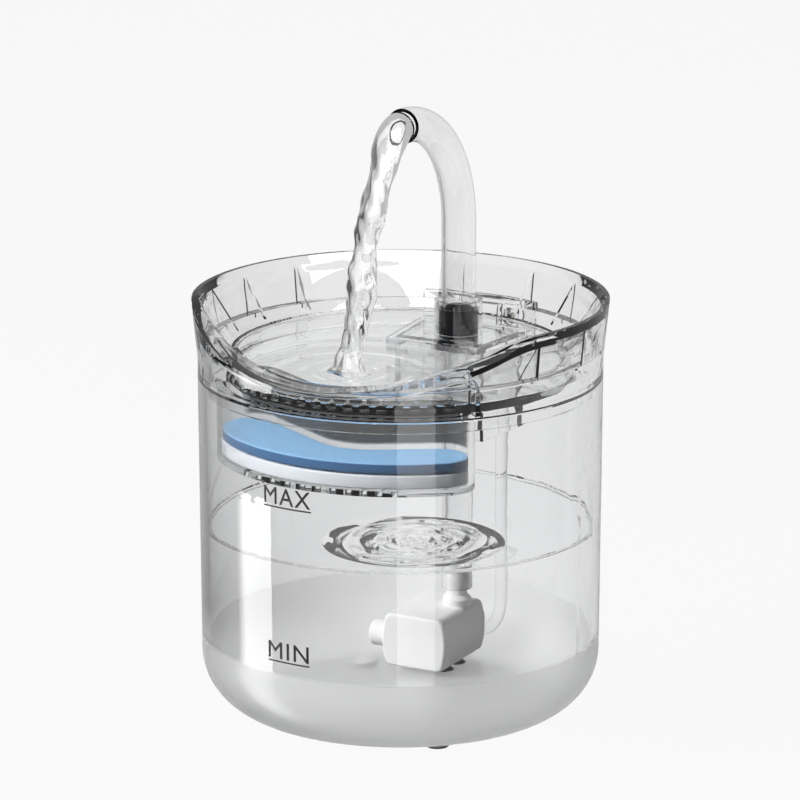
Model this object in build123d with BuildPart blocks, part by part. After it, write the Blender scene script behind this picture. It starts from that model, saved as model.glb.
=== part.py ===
from build123d import *
from math import asin, atan2, cos, degrees, pi, radians, sin, sqrt, tan
import os

# Pet water fountain. Millimetres, +Z up, origin on the tank's axis at the underside of the
# feet. The low drinking lip faces -Y. Angles of the dish are counted from -Y towards +X.

# ---------------------------------------------------------------- driving dimensions
CUT_MARGIN = 5.0  # how far a cutting shape runs past what it cuts

# Tank
FOOT_HEIGHT = 3.0
FOOT_R = 4.8
FOOT_EDGE_GAP = 0.4
FOOT_RECESS = 0.6
FOOT_EDGE = 0.7
TANK_TOP_R = 76.0
TANK_BASE_R = 75.2
TANK_TOP_Z = 133.0
TANK_WALL = 3.0
TANK_CORNER_R = 23.0
TANK_LIP_EDGE = 0.5

# Drinking tray
TRAY_WALL = 1.8
FLOOR_THICKNESS = 2.5
SPIGOT_DEPTH = 5.0
SPIGOT_CLEARANCE = 0.6
GUTTER_WIDTH = 8.1
BASIN_FILLET_R = 1.2
FLARE_Z = 141.0
SHELF_Z = 144.0
BAND_HEIGHT = 6.5
BAND_WALL = 2.4
RIM_Z = 161.5
RIM_FLARE = 2.2
LIP_WIDTH = 1.8
LIP_THICKNESS = 5.0
LIP_DIP = 19.3
LIP_DIP_HALF_ANGLE = 70.0
LIP_DIP_SHARPNESS = 1.5
RIB_ANGLES = (69, 89, 109, 127, 146, 165.5, 188, 203, 222, 240.5, 260.5, 279.5, 299)
RIB_THICKNESS = 1.4
RIB_BASE_Z = 142.5

# Drain gutter at the front of the dish
GUTTER_HALF_ANGLE = 51.5
GUTTER_WALL = 1.7
GUTTER_TOP_Z = 141.6
GUTTER_RISE = 5.5
GUTTER_CORNER_R = 5.0
SLOT_COUNT = 17
SLOT_PITCH = 5.45
SLOT_BODY_WIDTH = 3.6
SLOT_NECK_WIDTH = 1.9
SLOT_BODY_HEIGHT = 4.0
SLOT_HEIGHT = 6.0
SLOT_START_BELOW_FLOOR = 1.7

# Rear block of the tray, the bay that hangs under it, and the faucet socket
BLOCK_FRONT_Y = 25.0
BLOCK_FRONT_HALF = 19.5
BLOCK_BACK_HALF = 23.7
BLOCK_RISE = 2.5
LEDGE_INSET = 5.6
LEDGE_HALF = 24.5
LEDGE_RISE = 11.9
BAY_FRONT_Y = 31.0
BAY_BACK_INSET = 5.0
BAY_DEPTH = 32.5
BAY_INSET = 1.2
BAY_WALL = 2.0
SOCKET_R = 9.2
SOCKET_TOP_ABOVE_FLOOR = 15.0
SOCKET_SEAT_BELOW_FLOOR = 3.8
SOCKET_BASE = 2.0
NIPPLE_LENGTH = 9.0
NIPPLE_R = 4.0
WATERWAY_R = 2.6

# Faucet
TUBE_R = 6.6
TUBE_WALL = 1.3
TUBE_END_GAP = 0.2
BEND_R = 45.2
OUTLET_Z = 226.0
SEAL_WALL = 0.85
SEAL_LENGTH = 15.8
RUNNING_FIT = 0.05

# Filter
PAD_INSET = 3.6
PAD_LEFT_ANGLE = 50.0
PAD_RIGHT_ANGLE = 42.7
PAD_LOBE_R = 10.0
PAD_WAIST = 18.6
PAD_NOTCH_X = 2.5
PAD_NOTCH_R = 22.0
PAD_SIDE_CLEARANCE = 0.4
PAD_LIFT = 0.3
COTTON_THICKNESS = 5.7
SPONGE_THICKNESS = 4.5
FILTER_BOX_DEPTH = 29.4
FILTER_WALL = 2.0
FILTER_FLOOR = 1.8
GRILLE_SLOTS = 11
GRILLE_PITCH = 6.0
GRILLE_SLOT_LENGTH = 9.0
GRILLE_SLOT_WIDTH = 2.6
COLLAR_DEPTH = 4.0
COLLAR_WALL = 1.5
COLLAR_CLEARANCE = 0.3

# Pump
PUMP_X_MIN = -21.0
PUMP_X_MAX = 7.0
PUMP_WALL_GAP = 17.6
PUMP_LENGTH = 34.1
PUMP_BASE_Z = 8.0
PUMP_HEIGHT = 21.0
PUMP_WALL = 1.6
PUMP_EDGE_R = 3.2
PUMP_BULGE = 2.0
COVER_THICKNESS = 2.5
COVER_PLUG = 3.0
PLUG_WALL = 1.2
COVER_FIT = 0.1
CHAMBER_FROM_BACK = 14.1
OUTLET_FROM_BACK = 10.4
CHAMBER_DEPTH = 7.0
CHAMBER_R = 8.4
MOTOR_AXIS_X = -7.0
WELL_R = 4.4
WELL_WALL = 0.7
WELL_DEPTH = 4.6
PARTITION = 1.0
INTAKE_R = 3.6
INTAKE_SPOKES = 3
INTAKE_PLATE = 1.8
INTAKE_SLOTS = 4
INTAKE_SLOT_WIDTH = 1.6
INTAKE_SLOT_LENGTH = 9.0
INTAKE_SLOT_PITCH = 4.6
IMPELLER_R = 7.4
IMPELLER_BLADES = 6
BLADE_THICKNESS = 0.9
HUB_R = 2.4
MAGNET_R = 4.0
ROTOR_GAP = 0.3
SHAFT_R = 0.75
BUSH_R = 1.8
BUSH_LENGTH = 1.2
STATOR_R = 8.6
STATOR_POLES = 4
STATOR_THICKNESS = 2.4
STATOR_YOKE = 1.2
POLE_WIDTH = 2.2
COIL_WALL = 0.5
COIL_GAP = 0.1
BOARD_THICKNESS = 0.8
BOARD_GAP = 0.1
BACK_PLATE = 1.5
NOZZLE_R = 4.0
NOZZLE_COLLAR_R = 5.6
NOZZLE_COLLAR = 4.5
NOZZLE_COLLAR_STRAIGHT = 2.7
NOZZLE_LENGTH = 16.0
NOZZLE_PLUG = 1.4
HOSE_WALL = 2.0
HOSE_OVERLAP = 9.0
KNOB_R = 5.0
KNOB_LENGTH = 6.5
KNOB_FROM_FRONT = 6.5
KNOB_STEM_R = 2.0
CUP_R = 4.2
CUP_INSET_X = 7.0
CUP_INSET_Y = 11.8
CUP_STEM_R = 1.5
GLAND_R = 3.4
GLAND_LENGTH = 6.0
GLAND_END_X = -1.0
GLAND_Z = 15.0

# Power inlet and lead
JACK_X = 12.0
JACK_ABOVE_FLOOR = 4.6
JACK_BARREL_R = 4.0
JACK_WIDTH = 9.0
JACK_HEIGHT = 10.0
JACK_DEPTH = 4.6
JACK_BORE_R = 2.8
JACK_BORE_DEPTH = 7.0
JACK_ROOM = 0.3
JACK_PIN_R = 1.0
JACK_HOLE_FIT = 0.1
JACK_PROUD = 0.6
JACK_PIN_RECESS = 1.0
LEAD_R = 2.4

os.makedirs("parts", exist_ok=True)


# ---------------------------------------------------------------- shared geometry
def write(builder, name):
    """Label a finished piece and write it as a STEP file."""
    builder.part.label = name
    export_step(builder.part, f"parts/{name}.step")
    print(f"{name}: {builder.part.volume:.0f} mm3, {len(builder.part.solids())} solids")


def radial_plane(angle):
    """Vertical plane through the axis; its x runs outwards at the angle from -Y."""
    turn = radians(angle)
    return Plane(origin=(0, 0, 0), x_dir=(sin(turn), -cos(turn), 0),
                 z_dir=(-cos(turn), -sin(turn), 0))


FLOOR_TOP_Z = TANK_TOP_Z + FLOOR_THICKNESS
TANK_INNER_TOP_R = TANK_TOP_R - TANK_WALL
SPIGOT_R = TANK_INNER_TOP_R - SPIGOT_CLEARANCE
SPIGOT_INNER_R = SPIGOT_R - TRAY_WALL
BASIN_R = SPIGOT_INNER_R - GUTTER_WIDTH
BAND_R = TANK_TOP_R
RIM_R = BAND_R + RIM_FLARE
BOWL_RIM_R = RIM_R - LIP_WIDTH
BAND_TOP_Z = TANK_TOP_Z + BAND_HEIGHT
SHELL_BOTTOM_Z = FOOT_HEIGHT
FOOT_CIRCLE_R = TANK_BASE_R - TANK_CORNER_R - FOOT_R - FOOT_EDGE_GAP
LEDGE_Y = SPIGOT_INNER_R - LEDGE_INSET
BAY_BACK_Y = LEDGE_Y - BAY_BACK_INSET
PAD_FRONT_R = SPIGOT_INNER_R - PAD_INSET
PAD_NOTCH_Y = PAD_WAIST - PAD_FRONT_R
PUMP_BACK_Y = TANK_BASE_R - PUMP_WALL_GAP
PUMP_FRONT_Y = PUMP_BACK_Y - PUMP_LENGTH
CHAMBER_FRONT_Y = PUMP_BACK_Y - CHAMBER_FROM_BACK
KNOB_Y = PUMP_FRONT_Y + KNOB_FROM_FRONT
FAUCET_Y = PUMP_BACK_Y - OUTLET_FROM_BACK


def rim_drop(x):
    """How far the rim lies below its high level at a given x: a power of a cosine."""
    angle = degrees(asin(min(1.0, abs(x) / RIM_R)))
    if angle >= LIP_DIP_HALF_ANGLE:
        return 0.0
    return LIP_DIP * cos(radians(90 * angle / LIP_DIP_HALF_ANGLE)) ** LIP_DIP_SHARPNESS


def above_rim(drop_more, top):
    """The space over the dipped front rim, lowered by drop_more, as a solid."""
    half = RIM_R * sin(radians(LIP_DIP_HALF_ANGLE))
    steps = 6
    curve = [(half * i / steps, RIM_Z - rim_drop(half * i / steps) - drop_more)
             for i in range(-steps, steps + 1)]
    with BuildPart(mode=Mode.PRIVATE) as space:
        with BuildSketch(Plane.XZ):
            with BuildLine():
                Spline(*curve, tangents=[(1, 0), (1, 0)])
                Polyline(curve[-1], (half, top), (-half, top), curve[0])
            make_face()
        extrude(amount=RIM_R + CUT_MARGIN)
    return space.part


# ---------------------------------------------------------------- tank
with BuildPart() as tank:
    with BuildSketch(Plane.XZ):
        with BuildLine():
            Polyline((0, SHELL_BOTTOM_Z), (TANK_BASE_R, SHELL_BOTTOM_Z),
                     (TANK_TOP_R, TANK_TOP_Z), (0, TANK_TOP_Z), close=True)
        make_face()
    revolve(axis=Axis.Z)
    fillet(tank.edges().filter_by(GeomType.CIRCLE).sort_by(Axis.Z)[0], TANK_CORNER_R)
    tank_mouth = tank.faces().sort_by(Axis.Z)[-1]
    offset(amount=-TANK_WALL, openings=tank_mouth)
    chamfer(tank.faces().sort_by(Axis.Z)[-1].edges(), TANK_LIP_EDGE)
    with BuildSketch(Plane.XY.offset(SHELL_BOTTOM_Z)):
        with PolarLocations(FOOT_CIRCLE_R, 4, start_angle=45):
            Circle(FOOT_R)
    extrude(amount=FOOT_RECESS, mode=Mode.SUBTRACT)
write(tank, "tank")

with BuildPart() as tank_feet:
    with PolarLocations(FOOT_CIRCLE_R, 4, start_angle=45):
        Cylinder(FOOT_R, FOOT_HEIGHT + FOOT_RECESS,
                 align=(Align.CENTER, Align.CENTER, Align.MIN))
    foot_rims = tank_feet.edges().group_by(Axis.Z)[0]
    chamfer(foot_rims, FOOT_EDGE)
write(tank_feet, "tank_feet")

# ---------------------------------------------------------------- drinking tray
# The hollow under the bowl's flared wall, open downwards, with the gusset ribs left standing.
flare_slope = (BOWL_RIM_R - BASIN_R) / (RIM_Z - FLARE_Z)
skirt_slope = (RIM_R - BAND_R) / (RIM_Z - BAND_TOP_Z)
flare_back_r = BASIN_R + TRAY_WALL * sqrt(1 + flare_slope ** 2)
skirt_inner_r = BAND_R - TRAY_WALL + skirt_slope * (FLARE_Z - BAND_TOP_Z)
hollow_top = (skirt_inner_r - flare_back_r) / (flare_slope - skirt_slope)
shelf_rise = SHELF_Z - FLARE_Z
with BuildPart() as skirt_hollow:
    with BuildSketch(Plane.XZ):
        with BuildLine():
            Polyline((flare_back_r, TANK_TOP_Z - SPIGOT_DEPTH), (flare_back_r, FLARE_Z),
                     (flare_back_r + flare_slope * hollow_top, FLARE_Z + hollow_top),
                     (skirt_inner_r + skirt_slope * shelf_rise, SHELF_Z),
                     (SPIGOT_INNER_R, SHELF_Z),
                     (SPIGOT_INNER_R, TANK_TOP_Z - SPIGOT_DEPTH), close=True)
        make_face()
    revolve(axis=Axis.Z)
    for angle in RIB_ANGLES:
        with Locations(radial_plane(angle).location):
            with Locations(((BASIN_R + RIM_R) / 2, (RIB_BASE_Z + RIM_Z) / 2, 0)):
                Box(RIM_R - BASIN_R, RIM_Z - RIB_BASE_Z, RIB_THICKNESS, mode=Mode.SUBTRACT)
    add(above_rim(LIP_THICKNESS, RIM_Z + CUT_MARGIN), mode=Mode.SUBTRACT)

# Plan of the block behind the bowl, which carries the socket.
block_plan = [(-BLOCK_FRONT_HALF, BLOCK_FRONT_Y), (BLOCK_FRONT_HALF, BLOCK_FRONT_Y),
              (BLOCK_BACK_HALF, LEDGE_Y), (-BLOCK_BACK_HALF, LEDGE_Y)]


def bay_half(y):
    """Half width of the hanging bay at a given y: it follows the block's slanted sides."""
    share = (y - BLOCK_FRONT_Y) / (LEDGE_Y - BLOCK_FRONT_Y)
    return BLOCK_FRONT_HALF + share * (BLOCK_BACK_HALF - BLOCK_FRONT_HALF) - BAY_INSET


bay_plan = [(-bay_half(BAY_FRONT_Y), BAY_FRONT_Y), (bay_half(BAY_FRONT_Y), BAY_FRONT_Y),
            (bay_half(BAY_BACK_Y), BAY_BACK_Y), (-bay_half(BAY_BACK_Y), BAY_BACK_Y)]

# The filter's kidney: a front arc about the tank's axis, a round lobe at each end, and a
# notch at the back joined to the lobes by straight flanks.
def half_kidney(side, lobe_angle, grow):
    """One half of the filter's outline, grown outwards: the right for side 1, the left for -1."""
    front_r, lobe_r, notch_r = PAD_FRONT_R + grow, PAD_LOBE_R + grow, PAD_NOTCH_R - grow
    lobe_centre_r = PAD_FRONT_R - PAD_LOBE_R
    lobe = (lobe_centre_r * sin(radians(lobe_angle)), -lobe_centre_r * cos(radians(lobe_angle)))
    notch = (side * PAD_NOTCH_X, PAD_NOTCH_Y + PAD_NOTCH_R)
    across, rise = lobe[0] - notch[0], notch[1] - lobe[1]
    flank_angle = (asin((PAD_LOBE_R + PAD_NOTCH_R) / sqrt(across ** 2 + rise ** 2))
                   - atan2(rise, across))

    def on_circle(centre, radius, angle):
        return (side * (centre[0] + radius * cos(angle)), centre[1] + radius * sin(angle))

    front_end = radians(lobe_angle - 90)
    flank_out = flank_angle + pi / 2
    flank_in = flank_angle - pi / 2
    ThreePointArc((0, -front_r), on_circle((0, 0), front_r, (front_end - pi / 2) / 2),
                  on_circle((0, 0), front_r, front_end))
    ThreePointArc(on_circle(lobe, lobe_r, front_end),
                  on_circle(lobe, lobe_r, (front_end + flank_out) / 2),
                  on_circle(lobe, lobe_r, flank_out))
    Line(on_circle(lobe, lobe_r, flank_out), on_circle(notch, notch_r, flank_in))
    ThreePointArc(on_circle(notch, notch_r, flank_in),
                  on_circle(notch, notch_r, (flank_in - pi / 2) / 2),
                  on_circle(notch, notch_r, -pi / 2))


def kidney(grow):
    """The filter's outline as a sketch, grown outwards by the given amount."""
    with BuildSketch(mode=Mode.PRIVATE) as outline:
        with BuildLine():
            half_kidney(1, PAD_RIGHT_ANGLE, grow)
            half_kidney(-1, PAD_LEFT_ANGLE, grow)
        make_face()
    return outline.sketch


def gutter_sector(inner_r, outer_r, half_angle, bottom_z, top_z):
    """A ring sector centred on -Y."""
    with BuildPart(mode=Mode.PRIVATE) as sector:
        with BuildSketch(radial_plane(-half_angle)):
            with Locations(((inner_r + outer_r) / 2, (bottom_z + top_z) / 2)):
                Rectangle(outer_r - inner_r, top_z - bottom_z)
        revolve(axis=Axis.Z, revolution_arc=2 * half_angle)
    return sector.part


def above_gutter(lowered):
    """The space over the gutter's arched roof, lowered by the given amount."""
    half = BAND_R
    end_x = (BASIN_R + TRAY_WALL) * sin(radians(GUTTER_HALF_ANGLE))
    side_z = GUTTER_TOP_Z + GUTTER_RISE * (half / end_x) ** 2
    with BuildPart(mode=Mode.PRIVATE) as space:
        with BuildSketch(Plane.XZ):
            with BuildLine():
                ThreePointArc((-half, side_z - lowered), (0, GUTTER_TOP_Z - lowered),
                              (half, side_z - lowered))
                Polyline((half, side_z - lowered), (half, RIM_Z + CUT_MARGIN),
                         (-half, RIM_Z + CUT_MARGIN),
                         (-half, side_z - lowered))
            make_face()
        extrude(amount=RIM_R + CUT_MARGIN)
    return space.part


def roof_ends(gutter):
    """The edges where a gutter's roof meets its two end walls."""
    end_walls = gutter.faces().filter_by(GeomType.PLANE).filter_by(
        lambda face: abs(face.normal_at().Z) < 0.01).sort_by(Axis.X)
    return [wall.edges().sort_by(Axis.Z)[-1] for wall in (end_walls[0], end_walls[-1])]


with BuildPart() as gutter_body:
    add(gutter_sector(BASIN_R, SPIGOT_INNER_R + TRAY_WALL / 2, GUTTER_HALF_ANGLE,
                      TANK_TOP_Z, RIM_Z))
    add(above_gutter(0), mode=Mode.SUBTRACT)
    fillet(roof_ends(gutter_body), GUTTER_CORNER_R)

gutter_wall_angle = degrees(GUTTER_WALL / BASIN_R)
with BuildPart() as gutter_space:
    add(gutter_sector(BASIN_R + GUTTER_WALL, SPIGOT_INNER_R, GUTTER_HALF_ANGLE - gutter_wall_angle,
                      TANK_TOP_Z - SPIGOT_DEPTH, RIM_Z))
    add(above_gutter(GUTTER_WALL), mode=Mode.SUBTRACT)
    fillet(roof_ends(gutter_space), GUTTER_CORNER_R - GUTTER_WALL)

# One bottle-shaped drain slot, cut through the comb wall at -Y.
slot_start_z = FLOOR_TOP_Z - SLOT_START_BELOW_FLOOR
with BuildPart() as drain_slot:
    with BuildSketch(Plane.XZ.offset(BASIN_R - 2 * GUTTER_WALL)):
        with Locations((0, slot_start_z + SLOT_BODY_HEIGHT / 2)):
            Rectangle(SLOT_BODY_WIDTH, SLOT_BODY_HEIGHT)
        with Locations((0, slot_start_z + SLOT_HEIGHT / 2)):
            Rectangle(SLOT_NECK_WIDTH, SLOT_HEIGHT)
    extrude(amount=3.5 * GUTTER_WALL)

jack_z = FLOOR_TOP_Z + JACK_ABOVE_FLOOR
jack_back_y = sqrt((BAND_R - BAND_WALL) ** 2 - (JACK_X + JACK_WIDTH / 2 + JACK_ROOM) ** 2) - JACK_ROOM
jack_front_y = jack_back_y - JACK_DEPTH
socket_seat_z = FLOOR_TOP_Z - SOCKET_SEAT_BELOW_FLOOR
socket_bore_r = TUBE_R + 2 * RUNNING_FIT + SEAL_WALL

with BuildPart() as drinking_tray:
    # outer form
    with BuildSketch(Plane.XZ):
        with BuildLine():
            Polyline((0, TANK_TOP_Z - SPIGOT_DEPTH), (SPIGOT_R, TANK_TOP_Z - SPIGOT_DEPTH),
                     (SPIGOT_R, TANK_TOP_Z), (BAND_R, TANK_TOP_Z), (BAND_R, BAND_TOP_Z),
                     (RIM_R, RIM_Z), (0, RIM_Z), close=True)
        make_face()
    revolve(axis=Axis.Z)
    # bowl
    with BuildSketch(Plane.XZ):
        with BuildLine():
            Polyline((0, FLOOR_TOP_Z), (BASIN_R, FLOOR_TOP_Z), (BASIN_R, FLARE_Z),
                     (BOWL_RIM_R, RIM_Z), (0, RIM_Z), close=True)
        bowl_profile = make_face()
        fillet(bowl_profile.vertices().sort_by_distance((BASIN_R, FLOOR_TOP_Z))[0],
               BASIN_FILLET_R)
    revolve(axis=Axis.Z, mode=Mode.SUBTRACT)
    # underside of the floor, inside the spigot
    with BuildSketch(Plane.XY.offset(TANK_TOP_Z - SPIGOT_DEPTH)):
        Circle(SPIGOT_INNER_R)
    extrude(amount=SPIGOT_DEPTH, mode=Mode.SUBTRACT)
    add(above_rim(0, RIM_Z + CUT_MARGIN), mode=Mode.SUBTRACT)
    add(skirt_hollow.part, mode=Mode.SUBTRACT)
    # drain gutter with its comb
    add(gutter_body.part)
    add(gutter_space.part, mode=Mode.SUBTRACT)
    with PolarLocations(0, SLOT_COUNT, start_angle=-SLOT_PITCH * (SLOT_COUNT - 1) / 2,
                        angular_range=SLOT_PITCH * (SLOT_COUNT - 1), endpoint=True):
        add(drain_slot.part, mode=Mode.SUBTRACT)
    # rear block, ledge and hanging bay
    with BuildSketch(Plane.XY.offset(TANK_TOP_Z)):
        Polygon(*block_plan, align=None)
    extrude(amount=FLOOR_THICKNESS + BLOCK_RISE)
    with BuildSketch(Plane.XY.offset(TANK_TOP_Z)) as ledge_plan:
        Circle(SPIGOT_INNER_R + TRAY_WALL / 2)
        with Locations((0, LEDGE_Y)):
            Rectangle(2 * LEDGE_HALF, SPIGOT_INNER_R, align=(Align.CENTER, Align.MIN),
                      mode=Mode.INTERSECT)
    extrude(amount=FLOOR_THICKNESS + LEDGE_RISE)
    with BuildSketch(Plane.XY.offset(TANK_TOP_Z - BAY_DEPTH)):
        Polygon(*bay_plan, align=None)
    extrude(amount=BAY_DEPTH)
    with BuildSketch(Plane.XY.offset(TANK_TOP_Z - BAY_DEPTH)):
        Polygon(*bay_plan, align=None)
        offset(amount=-BAY_WALL)
    extrude(amount=BAY_DEPTH + FLOOR_THICKNESS + BLOCK_RISE - BAY_WALL, mode=Mode.SUBTRACT)
    # faucet socket and the nipple for the hose
    with BuildSketch(Plane.XY.offset(socket_seat_z - SOCKET_BASE)):
        with Locations((0, FAUCET_Y)):
            Circle(SOCKET_R)
    extrude(amount=SOCKET_BASE + SOCKET_SEAT_BELOW_FLOOR + SOCKET_TOP_ABOVE_FLOOR)
    with BuildSketch(Plane.XY.offset(socket_seat_z)):
        with Locations((0, FAUCET_Y)):
            Circle(socket_bore_r)
    extrude(amount=RIM_Z - socket_seat_z, mode=Mode.SUBTRACT)
    with BuildSketch(Plane.XY.offset(socket_seat_z - SOCKET_BASE - NIPPLE_LENGTH)):
        with Locations((0, FAUCET_Y)):
            Circle(NIPPLE_R)
    extrude(amount=NIPPLE_LENGTH)
    with BuildSketch(Plane.XY.offset(socket_seat_z - SOCKET_BASE - NIPPLE_LENGTH)):
        with Locations((0, FAUCET_Y)):
            Circle(WATERWAY_R)
    extrude(amount=NIPPLE_LENGTH + SOCKET_BASE, mode=Mode.SUBTRACT)
    # collar that the filter box slips over, open towards the gutter
    with BuildSketch(Plane.XY.offset(TANK_TOP_Z - COLLAR_DEPTH)):
        add(kidney(PAD_SIDE_CLEARANCE - COLLAR_CLEARANCE))
        add(kidney(PAD_SIDE_CLEARANCE - COLLAR_CLEARANCE - COLLAR_WALL), mode=Mode.SUBTRACT)
    extrude(amount=COLLAR_DEPTH)
    add(gutter_sector(BASIN_R + GUTTER_WALL, SPIGOT_INNER_R, GUTTER_HALF_ANGLE - gutter_wall_angle,
                      TANK_TOP_Z - COLLAR_DEPTH, TANK_TOP_Z), mode=Mode.SUBTRACT)
    # pocket and hole for the power inlet
    with BuildSketch(Plane.XY.offset(TANK_TOP_Z - SPIGOT_DEPTH)):
        with Locations((JACK_X, jack_front_y - JACK_ROOM)):
            Rectangle(JACK_WIDTH + 2 * JACK_ROOM, BAND_R - jack_front_y,
                      align=(Align.CENTER, Align.MIN))
        Circle(BAND_R - BAND_WALL, mode=Mode.INTERSECT)
    extrude(amount=SPIGOT_DEPTH + FLOOR_THICKNESS + LEDGE_RISE - TRAY_WALL, mode=Mode.SUBTRACT)
    with BuildSketch(Plane.XZ.offset(-BAND_R - CUT_MARGIN)):
        with Locations((JACK_X, jack_z)):
            Circle(JACK_BARREL_R + JACK_HOLE_FIT)
    extrude(amount=BAND_R + CUT_MARGIN - jack_back_y, mode=Mode.SUBTRACT)
write(drinking_tray, "drinking_tray")

# ---------------------------------------------------------------- faucet
seal_seat = Plane.XY.offset(socket_seat_z)
with BuildPart() as faucet_seal:
    with BuildSketch(seal_seat):
        with Locations((0, FAUCET_Y)):
            Circle(TUBE_R + RUNNING_FIT + SEAL_WALL)
            Circle(TUBE_R + RUNNING_FIT, mode=Mode.SUBTRACT)
    extrude(amount=SEAL_LENGTH)
write(faucet_seal, "faucet_seal")

tube_foot_z = socket_seat_z + TUBE_END_GAP
with BuildPart() as faucet_tube:
    with BuildLine() as tube_path:
        Line((0, FAUCET_Y, tube_foot_z), (0, FAUCET_Y, OUTLET_Z - BEND_R))
        ThreePointArc((0, FAUCET_Y, OUTLET_Z - BEND_R),
                      (0, FAUCET_Y - BEND_R * (1 - cos(pi / 4)),
                       OUTLET_Z - BEND_R * (1 - sin(pi / 4))),
                      (0, FAUCET_Y - BEND_R, OUTLET_Z))
    with BuildSketch(Plane(origin=(0, FAUCET_Y, tube_foot_z), z_dir=(0, 0, 1))):
        Circle(TUBE_R)
        Circle(TUBE_R - TUBE_WALL, mode=Mode.SUBTRACT)
    sweep(path=tube_path.wires()[0])
write(faucet_tube, "faucet_tube")

# ---------------------------------------------------------------- filter
box_base_z = TANK_TOP_Z - FILTER_BOX_DEPTH
pad_base_z = box_base_z + FILTER_FLOOR + PAD_LIFT
with BuildPart() as filter_box:
    with BuildSketch(Plane.XY.offset(box_base_z)):
        add(kidney(PAD_SIDE_CLEARANCE + FILTER_WALL))
    extrude(amount=FILTER_BOX_DEPTH)
    with BuildSketch(Plane.XY.offset(box_base_z + FILTER_FLOOR)):
        add(kidney(PAD_SIDE_CLEARANCE))
    extrude(amount=FILTER_BOX_DEPTH, mode=Mode.SUBTRACT)
    # outlet grille under the pads
    with BuildSketch(Plane.XY.offset(box_base_z)):
        with Locations((0, (PAD_NOTCH_Y - PAD_FRONT_R) / 2)):
            with GridLocations(GRILLE_PITCH, 0, GRILLE_SLOTS, 1):
                SlotOverall(GRILLE_SLOT_LENGTH, GRILLE_SLOT_WIDTH, rotation=90)
    extrude(amount=FILTER_FLOOR, mode=Mode.SUBTRACT)
write(filter_box, "filter_box")

with BuildPart() as filter_cotton:
    with BuildSketch(Plane.XY.offset(pad_base_z)):
        add(kidney(0))
    extrude(amount=COTTON_THICKNESS)
write(filter_cotton, "filter_cotton")

with BuildPart() as filter_sponge:
    with BuildSketch(Plane.XY.offset(pad_base_z + COTTON_THICKNESS)):
        add(kidney(0))
    extrude(amount=SPONGE_THICKNESS)
write(filter_sponge, "filter_sponge")

# ---------------------------------------------------------------- pump
pump_top_z = PUMP_BASE_Z + PUMP_HEIGHT
pump_mid_x = (PUMP_X_MIN + PUMP_X_MAX) / 2
pump_mid_z = PUMP_BASE_Z + PUMP_HEIGHT / 2
pump_width = PUMP_X_MAX - PUMP_X_MIN
housing_front_y = PUMP_FRONT_Y + COVER_THICKNESS
chamber_back_y = CHAMBER_FRONT_Y + CHAMBER_DEPTH
motor_front_y = chamber_back_y + PARTITION


def across(y):
    """Plane across the pump at a given y, centred on its box; it faces -Y."""
    return Plane(origin=(pump_mid_x, y, pump_mid_z), x_dir=(1, 0, 0), z_dir=(0, -1, 0))


def across_motor(y):
    """The same, centred on the motor's axis."""
    return Plane(origin=(MOTOR_AXIS_X, y, pump_mid_z), x_dir=(1, 0, 0), z_dir=(0, -1, 0))


def pump_section(inset):
    """The pump's section, flat above and below with bulging sides, drawn in by the inset."""
    half_width = pump_width / 2 - inset
    half_height = PUMP_HEIGHT / 2 - inset
    edge_x = half_width - PUMP_BULGE
    with BuildSketch(mode=Mode.PRIVATE) as section:
        with BuildLine():
            ThreePointArc((edge_x, -half_height), (half_width, 0), (edge_x, half_height))
            Line((edge_x, half_height), (-edge_x, half_height))
            ThreePointArc((-edge_x, half_height), (-half_width, 0), (-edge_x, -half_height))
            Line((-edge_x, -half_height), (edge_x, -half_height))
        make_face()
        fillet(section.vertices(), PUMP_EDGE_R - inset)
    return section.sketch


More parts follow.
